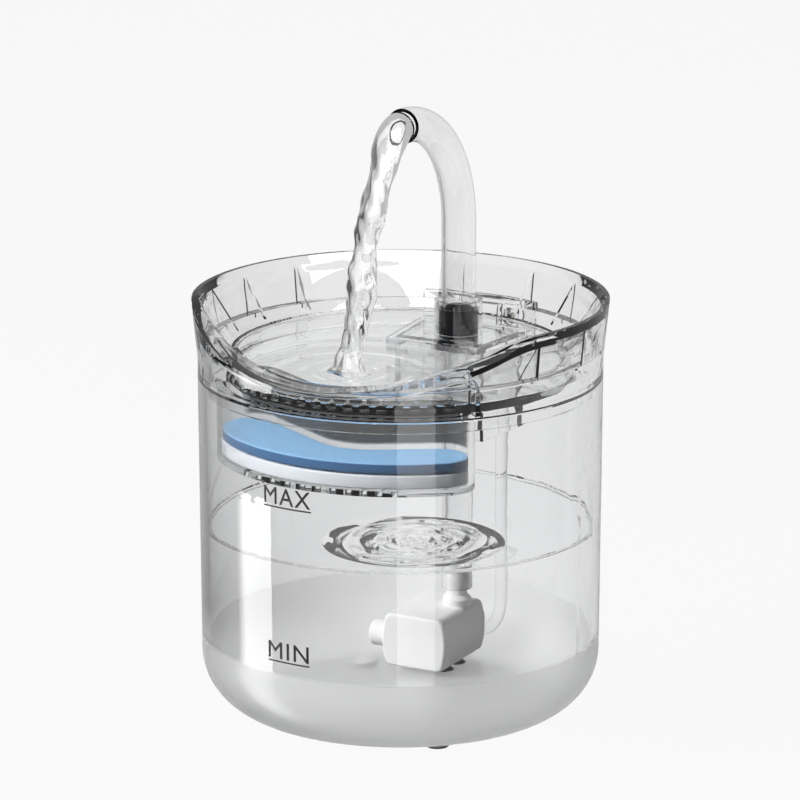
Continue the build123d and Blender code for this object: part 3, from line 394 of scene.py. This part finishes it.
def assign(target, material):
    """Gives an object one material in all its slots."""
    target.data.materials.clear()
    target.data.materials.append(material)


# ---------------------------------------------------------------- mesh helpers
def link(name, data):
    """A new object in the scene."""
    made = bpy.data.objects.new(name, data)
    bpy.context.scene.collection.objects.link(made)
    return made


def piece(name, verts, faces, body, material, smooth=True):
    """A mesh object from arrays of points and faces, riding on a body."""
    mesh = bpy.data.meshes.new(name)
    mesh.from_pydata(np.asarray(verts, float).tolist(), [],
                     [tuple(int(i) for i in f) for f in faces])
    mesh.polygons.foreach_set("use_smooth", [smooth] * len(mesh.polygons))
    mesh.update()
    made = link(name, mesh)
    assign(made, material)
    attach(made, body)
    return made


def grid_faces(rows, columns, wrap):
    """Quads of a rows by columns grid of points, closed round the columns if wrap."""
    r = np.arange(rows - 1)[:, None]
    c = np.arange(columns if wrap else columns - 1)[None, :]
    n = (c + 1) % columns
    return np.stack(np.broadcast_arrays(r * columns + c, r * columns + n,
                                        (r + 1) * columns + n, (r + 1) * columns + c),
                    -1).reshape(-1, 4)


def capped(grid):
    """Points and faces of a tube of rings (rows, columns, 3), closed by a centre point at
    each end."""
    rows, columns, _ = grid.shape
    low, high = rows * columns, rows * columns + 1
    verts = np.concatenate([grid.reshape(-1, 3), [grid[0].mean(0), grid[-1].mean(0)]])
    c = np.arange(columns)
    n = (c + 1) % columns
    top = (rows - 1) * columns
    ends = [np.stack([n, c, np.full(columns, low)], -1),
            np.stack([top + c, top + n, np.full(columns, high)], -1)]
    faces = [tuple(q) for q in grid_faces(rows, columns, True)]
    return verts, faces + [tuple(t) for e in ends for t in e]


# ---------------------------------------------------------------- camera
def make_camera():
    """A long lens looking down on the dish."""
    data = bpy.data.cameras.new("camera")
    data.sensor_width = 36.0
    data.lens = FOCAL_PX * data.sensor_width / FRAME_PX
    data.shift_x = (FRAME_PX / 2 - PRINCIPAL_PX[0]) / FRAME_PX
    data.shift_y = (PRINCIPAL_PX[1] - FRAME_PX / 2) / FRAME_PX
    camera = link("camera", data)
    out = np.array([math.sin(CAMERA_AZIMUTH) * math.cos(CAMERA_ELEVATION),
                    -math.cos(CAMERA_AZIMUTH) * math.cos(CAMERA_ELEVATION),
                    math.sin(CAMERA_ELEVATION)])
    camera.location = AIM + CAMERA_DISTANCE * out
    camera.rotation_euler = (math.pi / 2 - CAMERA_ELEVATION, 0, CAMERA_AZIMUTH)
    bpy.context.scene.camera = camera


# ---------------------------------------------------------------- lead
def make_lead():
    """The pump's lead: a spline through the route's points with a round section."""
    curve = bpy.data.curves.new("pump_lead_line", "CURVE")
    curve.dimensions = "3D"
    spline = curve.splines.new("NURBS")
    spline.points.add(len(LEAD_ROUTE) - 1)
    for point, place in zip(spline.points, LEAD_ROUTE):
        point.co = (*place, 1.0)
    spline.use_endpoint_u = True
    spline.order_u = 3
    curve.resolution_u = 10
    curve.bevel_depth = LEAD_DIAMETER / 2
    curve.bevel_resolution = 6
    curve.use_fill_caps = True
    lead = link("pump_lead_jacket", curve)
    assign(lead, clear_plastic("lead_jacket", ior=1.42, density=12.0, wave=0.1,
                               wave_size=0.01))
    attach(lead, "tray")
    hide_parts("pump_lead")
    lead.visible_shadow = False


# ---------------------------------------------------------------- water
def stream_line(t):
    """Centre of the falling stream: it leaves the faucet level and falls as a parabola,
    with a slight side sway."""
    y = OUTLET[1] + (STREAM_FOOT[1] - OUTLET[1]) * np.sqrt(t) ** 1.06
    z = OUTLET[2] + (STREAM_FOOT[2] - OUTLET[2]) * t
    x = OUTLET[0] + (STREAM_FOOT[0] - OUTLET[0]) * t + 0.0006 * np.sin(11 * t) * t
    return np.stack([x, y, z], -1)


def make_stream(material):
    """The stream: rings round the line whose radius thins as the water speeds up, swells
    in long waves, and is folded into a slowly turning flat rope; the foot flares out."""
    t = np.linspace(0.0, 1.0, STREAM_ROWS) ** 1.15
    centre = stream_line(t)
    ahead = np.gradient(centre, axis=0)
    ahead /= np.linalg.norm(ahead, axis=1)[:, None]
    side = np.array([1.0, 0.0, 0.0])
    up = np.cross(side, ahead)
    up /= np.linalg.norm(up, axis=1)[:, None]
    side = np.cross(ahead, up)
    a = np.linspace(0, TAU, STREAM_COLUMNS, endpoint=False)[None, :]
    s = t[:, None]
    full = np.minimum(1, 6 * s)
    radius = (0.0056 - 0.0014 * s + 0.0005 * np.sin(TAU * 3.4 * s + 0.6)
              - 0.0010 * np.exp(-((s - 0.9) / 0.05) ** 2))
    radius = radius * (1 + full * (0.12 * np.cos(2 * a + 7.0 * s)
                                   + 0.07 * np.cos(3 * a - 13.0 * s + 1.0)
                                   + 0.05 * np.sin(37 * s + 2.2 * np.cos(a + 0.5))
                                   + 0.05 * np.cos(5 * a + 29 * s) * s
                                   + 0.045 * np.sin(83 * s + 3.0 * np.sin(a)) * s
                                   + 0.03 * np.cos(7 * a - 61 * s)))
    radius += 0.0034 * np.exp(-((1 - s) / 0.03)) * (1 + 0.3 * np.cos(5 * a + 0.7))
    grid = (centre[:, None, :] + radius[..., None] * (np.cos(a)[..., None] * side[:, None, :]
            + np.sin(a)[..., None] * up[:, None, :]))
    grid[-1, :, 2] = STREAM_FOOT[2]
    verts, faces = capped(grid)
    stream = piece("water_stream", verts, faces, "faucet", material)
    stream.visible_shadow = False


def rings(place, centre, waves):
    """Height of ring waves about a centre: waves are (height, length, reach, start)."""
    reach = np.hypot(place[..., 0] - centre[0], place[..., 1] - centre[1])
    total = np.zeros_like(reach)
    for height, length, fade, start in waves:
        near = np.clip((reach - start) / (0.3 * length), 0, 1)
        total += height * near * np.cos(TAU * reach / length) * np.exp(-reach / fade)
    return total


def water_disc(name, outer_r, level, height, body, material, rows=90, columns=220):
    """A level disc of water whose surface is lifted by height(places)."""
    r = np.linspace(0.02, 1.0, rows)[:, None] ** 0.8 * outer_r
    a = np.linspace(0, TAU, columns, endpoint=False)[None, :]
    grid = np.stack(np.broadcast_arrays(r * np.cos(a), r * np.sin(a), 0 * r * a + level), -1)
    grid[..., 2] += height(grid) * np.clip((outer_r - r) / DISC_FADE, 0, 1)
    centre = np.array([[0.0, 0.0, grid[0, :, 2].mean()]])
    verts = np.concatenate([grid.reshape(-1, 3), centre])
    c = np.arange(columns)
    n = (c + 1) % columns
    fan = np.stack([c, n, np.full(columns, rows * columns)], -1)[:, ::-1]
    faces = [tuple(q[::-1]) for q in grid_faces(rows, columns, True)]
    made = piece(name, verts, faces + [tuple(t[::-1]) for t in fan], body, material)
    made.visible_shadow = False
    return made


def plunge_height(reach, turn):
    """Height of the stirred water: crests about the plunge point that wander with the
    turn and die away at the rim of the stirred round."""
    bent = reach * (1 + 0.05 * np.cos(2 * turn + 0.6) + 0.03 * np.cos(5 * turn))
    crests = (0.0013 * np.cos(TAU * bent / 0.0118) + 0.0005 * np.cos(TAU * bent / 0.0052 + 1.0)
              + 0.0004 * np.sin(7 * turn + 260 * reach))
    return crests * np.clip((PLUNGE_R - reach) / 0.012, 0, 1)


def make_ripples(material):
    """The stirred round of the tank's water: a thin lens whose top is the crests and whose
    bottom is level."""
    rows, columns = 70, 200
    r = np.linspace(0.01, 1.0, rows)[:, None] * PLUNGE_R
    a = np.linspace(0, TAU, columns, endpoint=False)[None, :]
    x, y = PLUNGE[0] + r * np.cos(a), PLUNGE[1] + r * np.sin(a)
    top = TANK_WATER_Z + plunge_height(r, a) + 0.0001
    edge = np.clip((PLUNGE_R - r) / 0.014, 0, 1)
    low = TANK_WATER_Z - PLUNGE_DEPTH * edge * edge * (3 - 2 * edge) + 0 * a
    over = np.stack(np.broadcast_arrays(x, y, top), -1)
    under = np.stack(np.broadcast_arrays(x, y, low), -1)
    verts, faces = capped(np.concatenate([under, over[::-1]]))
    ripples = piece("plunge_water", verts, [f[::-1] for f in faces], "tank", material)
    ripples.visible_shadow = False


def make_meniscus(name, wall_r, level, body, material):
    """The water's climb up a round wall: a small concave fillet turned about Z."""
    out = np.array([-1.2, -0.6, -0.25, -0.08, 0.0, 0.0, -1.2]) * 0.001 + wall_r
    up = np.array([0.02, 0.12, 0.36, 0.72, 1.1, -0.3, -0.3]) * 0.001 + level
    a = np.linspace(0, TAU, WALL_STEPS, endpoint=False)[None, :]
    out, up = out[:, None], up[:, None]
    grid = np.stack(np.broadcast_arrays(out * np.cos(a), out * np.sin(a), up + 0 * a), -1)
    faces = grid_faces(len(out) + 1, WALL_STEPS, True) % (len(out) * WALL_STEPS)
    made = piece(name, grid.reshape(-1, 3), faces[:, ::-1], body, material)
    made.visible_shadow = False


def make_water():
    """The water in the tank and the dish, and the stream between them."""
    falling = water_body("falling_water")
    make_stream(falling)
    make_ripples(falling)
    make_meniscus("tank_waterline", TANK_INNER_R, TANK_WATER_Z, "tank", falling)
    make_meniscus("dish_waterline", DISH_WATER_R, DISH_WATER_Z, "tray", falling)

    def tank_height(place):
        return rings(place, PLUNGE, TANK_WAVES)

    water_disc("tank_water", TANK_INNER_R, TANK_WATER_Z, tank_height, "tank",
               water_sheet("still_water", 0.02, 0.10))

    def dish_height(place):
        return rings(place, STREAM_FOOT, DISH_WAVES)

    water_disc("dish_water", DISH_WATER_R, DISH_WATER_Z, dish_height, "tray",
               water_sheet("dish_surface", 0.015, 0.10))


# ---------------------------------------------------------------- filter pads
def pad_half(side, lobe_angle):
    """The front and the back run of one half of the kidney, from its middle to its tip:
    an arc about the tank's axis, the lobe and the notch, joined by a straight flank."""
    lobe_r = PAD_FRONT_R - PAD_LOBE_R
    lobe = (lobe_r * math.sin(lobe_angle), -lobe_r * math.cos(lobe_angle))
    notch = (side * PAD_NOTCH[0], PAD_NOTCH[1] + PAD_NOTCH_R)
    across, rise = lobe[0] - notch[0], notch[1] - lobe[1]
    flank = (math.asin((PAD_LOBE_R + PAD_NOTCH_R) / math.hypot(across, rise))
             - math.atan2(rise, across))
    front_end = lobe_angle - math.pi / 2
    out, back = flank + math.pi / 2, flank - math.pi / 2
    tip = (front_end + out) / 2

    def arc(centre, radius, start, stop, steps=80):
        turn = np.linspace(start, stop, steps)
        return np.stack([side * (centre[0] + radius * np.cos(turn)),
                         centre[1] + radius * np.sin(turn)], -1)

    front = np.concatenate([arc((0, 0), PAD_FRONT_R, -math.pi / 2, front_end),
                            arc(lobe, PAD_LOBE_R, front_end, tip)])
    rear = np.concatenate([arc(notch, PAD_NOTCH_R, -math.pi / 2, back),
                           arc(lobe, PAD_LOBE_R, out, tip)])
    return front, rear


def pad_outline(count):
    """Two runs of the kidney's outline from its left tip to its right tip, front and back,
    each as count points evenly spaced."""
    def even(left, right):
        run = np.concatenate([left[::-1], right[1:]])
        length = np.concatenate([[0], np.cumsum(np.linalg.norm(np.diff(run, axis=0), axis=1))])
        spots = np.linspace(0, length[-1], count)
        return np.stack([np.interp(spots, length, run[:, k]) for k in (0, 1)], -1)

    left, right = pad_half(-1, PAD_LEFT_ANGLE), pad_half(1, PAD_RIGHT_ANGLE)
    return even(left[0], right[0]), even(left[1], right[1])


def make_pad(name, node, material, body, round_r=0.0007, crown=0.00025):
    """A kidney-shaped pad as one closed band of rounded sections laid across the outline,
    with edges of radius round_r and faces swelling by crown in their middle."""
    low, high = (float(v[2]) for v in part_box(node))
    front, rear = pad_outline(150)
    middle, reach = (front + rear) / 2, (rear - front) / 2
    half = np.linalg.norm(reach, axis=1)
    across = reach / np.maximum(half, 1e-9)[:, None]
    corner = np.minimum(round_r, half)
    turn = np.linspace(0, math.pi / 2, 5)
    flat = np.linspace(1, -1, 12)[1:-1]
    centre_z = (low + high) / 2
    half_z = (high - low) / 2 - crown
    offset, height = [], []
    for sign in (1, -1):
        for q in turn:
            offset.append(sign * (half - corner + corner * math.cos(q)))
            height.append(sign * (half_z - round_r + round_r * math.sin(q)) + 0 * half)
        for k in flat:
            offset.append(sign * (half - corner) * k)
            height.append(sign * (half_z + crown * (1 - k * k)) + 0 * half)
        for q in turn[::-1]:
            offset.append(-sign * (half - corner + corner * math.cos(q)))
            height.append(sign * (half_z - round_r + round_r * math.sin(q)) + 0 * half)
    offset, height = np.array(offset).T, np.array(height).T
    grid = np.concatenate([middle[:, None, :] + across[:, None, :] * offset[..., None],
                           (centre_z + height)[..., None]], -1)
    verts, faces = capped(grid)
    pad = piece(name, verts, [f[::-1] for f in faces], body, material)
    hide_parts(node)


def make_prefilter(material):
    """The pump's foam block: a rounded square section, a superellipse, carried along Y
    with its ends drawn in."""
    low, high = (np.array(corner, float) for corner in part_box("prefilter_sponge"))
    middle, half = (low + high) / 2, (high - low) / 2
    along = np.array([-1, -1, -0.96, -0.88, -0.5, 0, 0.5, 0.88, 0.96, 1, 1])[:, None]
    drawn = np.array([0.6, 0.93, 0.98, 1, 1, 1, 1, 1, 0.98, 0.93, 0.6])[:, None]
    a = np.linspace(0, TAU, 72, endpoint=False)[None, :]
    power = 2 / 7
    x = np.sign(np.cos(a)) * np.abs(np.cos(a)) ** power * drawn
    z = np.sign(np.sin(a)) * np.abs(np.sin(a)) ** power * drawn
    grid = middle + half * np.stack(np.broadcast_arrays(x, along, z), -1)
    verts, faces = capped(grid)
    block = piece("prefilter_block", verts, faces, "pump_cover", material)
    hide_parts("prefilter_sponge")


# ---------------------------------------------------------------- level marks
def tank_radius(z):
    """Outer radius of the tank's gently tapered wall."""
    share = (z - TANK_BASE_Z) / (TANK_TOP_Z - TANK_BASE_Z)
    return TANK_BASE_R + (TANK_TOP_R - TANK_BASE_R) * share


def make_mark(word, line_z, start, stop, material):
    """A level mark printed round the tank: the word over a line, between two angles
    counted from -Y towards +X."""
    curve = bpy.data.curves.new(word.lower() + "_text", "FONT")
    curve.body = word
    curve.size = MARK_CAP / MARK_CAP_SHARE
    curve.space_character = MARK_SPACING
    curve.resolution_u = 6
    text = link(word.lower() + "_text", curve)
    bpy.context.view_layer.update()
    mesh = bpy.data.meshes.new_from_object(text.evaluated_get(
        bpy.context.evaluated_depsgraph_get()))
    bpy.data.objects.remove(text)
    flat = np.empty(3 * len(mesh.vertices))
    mesh.vertices.foreach_get("co", flat)
    flat = flat.reshape(-1, 3)
    width = np.ptp(flat[:, 0])
    span = math.radians(stop - start) * tank_radius(line_z)
    flat[:, 0] = (flat[:, 0] - flat[:, 0].min()) * (span / width)
    flat[:, 1] += MARK_RISE
    faces = [tuple(p.vertices) for p in mesh.polygons]
    shifts = MARK_STROKE * np.array([(0, 0, 0), (1, 0.4, 0), (-1, -0.4, 0), (0.4, -1, 0),
                                     (-0.4, 1, 0)])
    faces = [tuple(i + k * len(flat) for i in f) for k in range(len(shifts)) for f in faces]
    flat = np.concatenate([flat + shift for shift in shifts])
    bar_x = np.linspace(-BAR_OVERHANG[0], span + BAR_OVERHANG[1], BAR_POINTS)
    bar = np.concatenate([np.stack([bar_x, 0 * bar_x + side * BAR_HALF, 0 * bar_x], -1)
                          for side in (-1, 1)])
    quads = grid_faces(2, BAR_POINTS, False)
    faces += [tuple(q) for q in len(flat) + quads]
    flat = np.concatenate([flat, bar])
    z = line_z + flat[:, 1]
    angle = math.radians(start) + flat[:, 0] / tank_radius(line_z)
    r = tank_radius(z) + MARK_DEPTH
    verts = np.stack([r * np.sin(angle), -r * np.cos(angle), z], -1)
    bpy.data.meshes.remove(mesh)
    piece(word.lower() + "_mark", verts, faces, "tank", material, smooth=False)


# ---------------------------------------------------------------- stage and light
def make_lamp(name, azimuth, elevation, distance, size, energy):
    """A soft rectangular lamp aimed at the object; azimuth is counted from -Y towards +X.
    It isn't mirrored by the plastic: the cards are."""
    data = bpy.data.lights.new(name, "AREA")
    data.shape = "RECTANGLE"
    data.size, data.size_y = size
    data.energy = energy
    lamp = link(name, data)
    turn, rise = math.radians(azimuth), math.radians(elevation)
    lamp.location = AIM + distance * np.array([math.sin(turn) * math.cos(rise),
                                               -math.cos(turn) * math.cos(rise),
                                               math.sin(rise)])
    lamp.rotation_euler = (math.pi / 2 - rise, 0, turn)
    lamp.visible_glossy = False
    lamp.visible_transmission = False


def make_card(name, azimuths, heights, level, soft=0.0):
    """A card that shows only in reflections, behind one clear face at most: part of a
    cylinder about the object between two azimuths and two heights, whose light fades over
    the share soft at its first edge."""
    a = np.radians(np.linspace(*azimuths, CARD_POINTS))
    verts = np.concatenate([CARD_DISTANCE * np.stack([np.sin(a), -np.cos(a), 0 * a], -1)
                            + (0, 0, height) for height in heights])
    mesh = bpy.data.meshes.new(name)
    mesh.from_pydata(verts.tolist(), [], grid_faces(2, CARD_POINTS, False).tolist())
    share = mesh.attributes.new("share", "FLOAT", "POINT")
    share.data.foreach_set("value", np.tile(np.linspace(0, 1, CARD_POINTS), 2))
    card = link(name, mesh)
    f = Finish(name)
    value = f.node("Attribute", {"attribute_name": "share"}, out=2)
    path = f.tree.nodes.new("ShaderNodeLightPath")
    outer = Value(f.tree, path.outputs["Transmission Depth"]) < CARD_CLEAR_WALLS
    glow = f.step(value, 0.0, max(soft, 1e-3), 0.0, level) * outer
    assign(card, f.surface(f.node("Emission", Color=rgb(1, 1, 1), Strength=glow)))
    card.visible_camera = card.visible_diffuse = card.visible_transmission = False
    card.visible_shadow = False


def light_paths(f):
    """Three masks: rays straight from the camera, rays that then passed only clear pieces,
    and rays that a plain surface has scattered."""
    path = f.tree.nodes.new("ShaderNodeLightPath")
    straight = Value(f.tree, path.outputs["Is Camera Ray"])
    through = Value(f.tree, path.outputs["Is Transmission Ray"])
    bounced = Value(f.tree, path.outputs["Diffuse Depth"]) > 0.5
    return straight, through * (1.0 - bounced), bounced


def make_stage():
    """A pale floor that shows white behind the object and keeps its shadow."""
    mesh = bpy.data.meshes.new("floor")
    corners = [(-1, -1), (1, -1), (1, 1), (-1, 1)]
    mesh.from_pydata([(x * FLOOR_HALF, y * FLOOR_HALF, 0) for x, y in corners], [],
                     [(0, 1, 2, 3)])
    floor = link("floor", mesh)
    f = Finish("floor")
    straight, clear, _ = light_paths(f)
    pale = f.node("BsdfDiffuse", Color=rgb(FLOOR_TONE, FLOOR_TONE, FLOOR_TONE))
    place = f.node("TexCoord", out=3)
    toward = f.node("VectorMath", {"operation": "NORMALIZE"}, i0=place)
    aside = f.node("VectorMath", {"operation": "DOT_PRODUCT"}, out=1, i0=toward,
                   i1=(math.sin(DARK_SIDE), -math.cos(DARK_SIDE), 0.0))
    away = f.node("VectorMath", {"operation": "LENGTH"}, out=1, i0=place)
    lit = f.step(aside, -0.8, 0.3, 1.0, 0.35).maximum(f.step(away, 0.1, 0.25, 0.8, 0.0))
    level = straight * BACKGROUND + (1.0 - straight) * lit * BACKGROUND
    glow = f.node("Emission", Color=rgb(1, 1, 1), Strength=level)
    seen = straight.maximum(clear) * FLOOR_GLOW_SHARE
    assign(floor, f.surface(f.node("MixShader", i0=seen, i1=pale, i2=glow)))
    floor.visible_glossy = False


def make_world():
    """The room: white behind the object, dark towards the camera's side where a photographer
    stands; mirrors see it dimmer, and it gives a soft fill."""
    world = bpy.data.worlds.new("studio")
    bpy.context.scene.world = world
    world.use_nodes = True
    f = Finish("studio", world.node_tree)
    straight, clear, bounced = light_paths(f)
    way = f.node("TexCoord", out=0)
    side = f.node("VectorMath", {"operation": "DOT_PRODUCT"}, out=1, i0=way,
                  i1=(math.sin(DARK_SIDE), -math.cos(DARK_SIDE), -0.7))
    room = f.step(side, -0.3, 0.5, 0.94, 0.04)
    mirror = f.step(side, -0.3, 0.6, 0.5, 0.10)
    mirrored = 1.0 - straight.maximum(clear).maximum(bounced)
    level = straight * BACKGROUND + clear * room + mirrored * mirror + bounced * FILL
    back = f.node("Background", Color=rgb(1, 1, 1), Strength=level)
    end = f.tree.nodes.new("ShaderNodeOutputWorld")
    f.tree.links.new(back.socket, end.inputs["Surface"])


# ---------------------------------------------------------------- making
make_camera()
make_lead()

# The tray's comb wall and the filter box's inner walls get painted shade in their clear plastic.
shell = clear_plastic("clear_shell", shade=comb_painted_shade, wavy_beyond=RIM_ROLL_R)
box_plastic = clear_plastic("clear_box", shade=box_painted_shade)
tank_plastic = clear_plastic("clear_tank", density=180.0, satin_below=SATIN_Z)
tube_plastic = clear_plastic("clear_tube", density=210.0, wave_size=0.02)
soft_plastic = clear_plastic("clear_soft", ior=1.4, density=90.0, wave=0.1)
white = moulded("white_plastic", (0.90, 0.90, 0.905), 0.4)
black = moulded("black_seal", (0.006, 0.006, 0.007), 0.14, grain=0.3, grain_size=0.004,
                mirror=0.12)
CLEAR = (shell, box_plastic, tank_plastic, tube_plastic, soft_plastic)
FINISHES = {
    tank_plastic: ("tank",),
    shell: ("drinking_tray",),
    box_plastic: ("filter_box",),
    tube_plastic: ("faucet_tube",),
    soft_plastic: ("riser_hose", "suction_cups", "power_jack"),
    white: ("pump_housing", "pump_front_cover", "intake_plate", "impeller", "pump_back_plate",
            "outlet_nozzle", "flow_knob", "lead_gland"),
    black: ("faucet_seal",),
    rubber_feet("rubber_feet"): ("tank_feet",),
    metal("ground_steel", (0.62, 0.62, 0.63), 0.25, (1, 0.1, 1)): ("impeller_shaft",),
    metal("plated_pin", (0.75, 0.72, 0.62), 0.15, (1, 0.1, 1)): ("jack_pin",),
    metal("stator_sheet", (0.42, 0.43, 0.45), 0.35, (1, 6, 1)): ("stator_core",),
    windings("copper_winding"): ("stator_coils",),
    circuit_board("circuit_board"): ("driver_board",),
    moulded("ferrite", (0.06, 0.06, 0.065), 0.45, grain=0.3): ("rotor_magnet",),
    moulded("white_ceramic", (0.82, 0.81, 0.78), 0.2, grain=0.05): ("shaft_bushes",),
}
for material, nodes in FINISHES.items():
    for node in nodes:
        assign(NODES[node], material)
        if material in CLEAR:
            NODES[node].visible_shadow = False

make_pad("sponge_pad", "filter_sponge",
         foam("blue_foam", (0.36, 0.66, 1.0), (0.06, 0.17, 0.36), 0.0009, 0.15), "filter_pads")
make_pad("cotton_pad", "filter_cotton",
         floss("white_cotton", (0.92, 0.95, 0.98), (0.80, 0.84, 0.89)), "filter_pads")
make_prefilter(foam("prefilter_foam", (0.10, 0.10, 0.11), (0.03, 0.03, 0.035), 0.0016, 0.8))
make_water()
ink = moulded("level_mark_ink", (0.015, 0.015, 0.015), 0.5)
make_mark("MAX", 0.0973, -13.0, 2.3, ink)
make_mark("MIN", 0.0381, -12.0, 1.5, ink)

make_stage()
make_world()
make_lamp("key", -42.0, 36.0, 1.5, (0.8, 0.8), 37)
make_lamp("top", 0.0, 80.0, 1.5, (1.2, 1.2), 4)
make_card("left_card", (-78.0, -49.0), (-1.6, -0.24), 9.0, 0.35)
make_card("front_card", (26.0, 47.0), (-1.6, 0.3), 3.0)
make_card("bowl_card", (-5.0, 100.0), (0.35, 4.0), 9.0)

bpy.context.scene.view_settings.view_transform = "Standard"
bpy.context.scene.cycles.transmission_bounces = 24
bpy.context.scene.cycles.max_bounces = 28
bpy.context.scene.cycles.transparent_max_bounces = 32
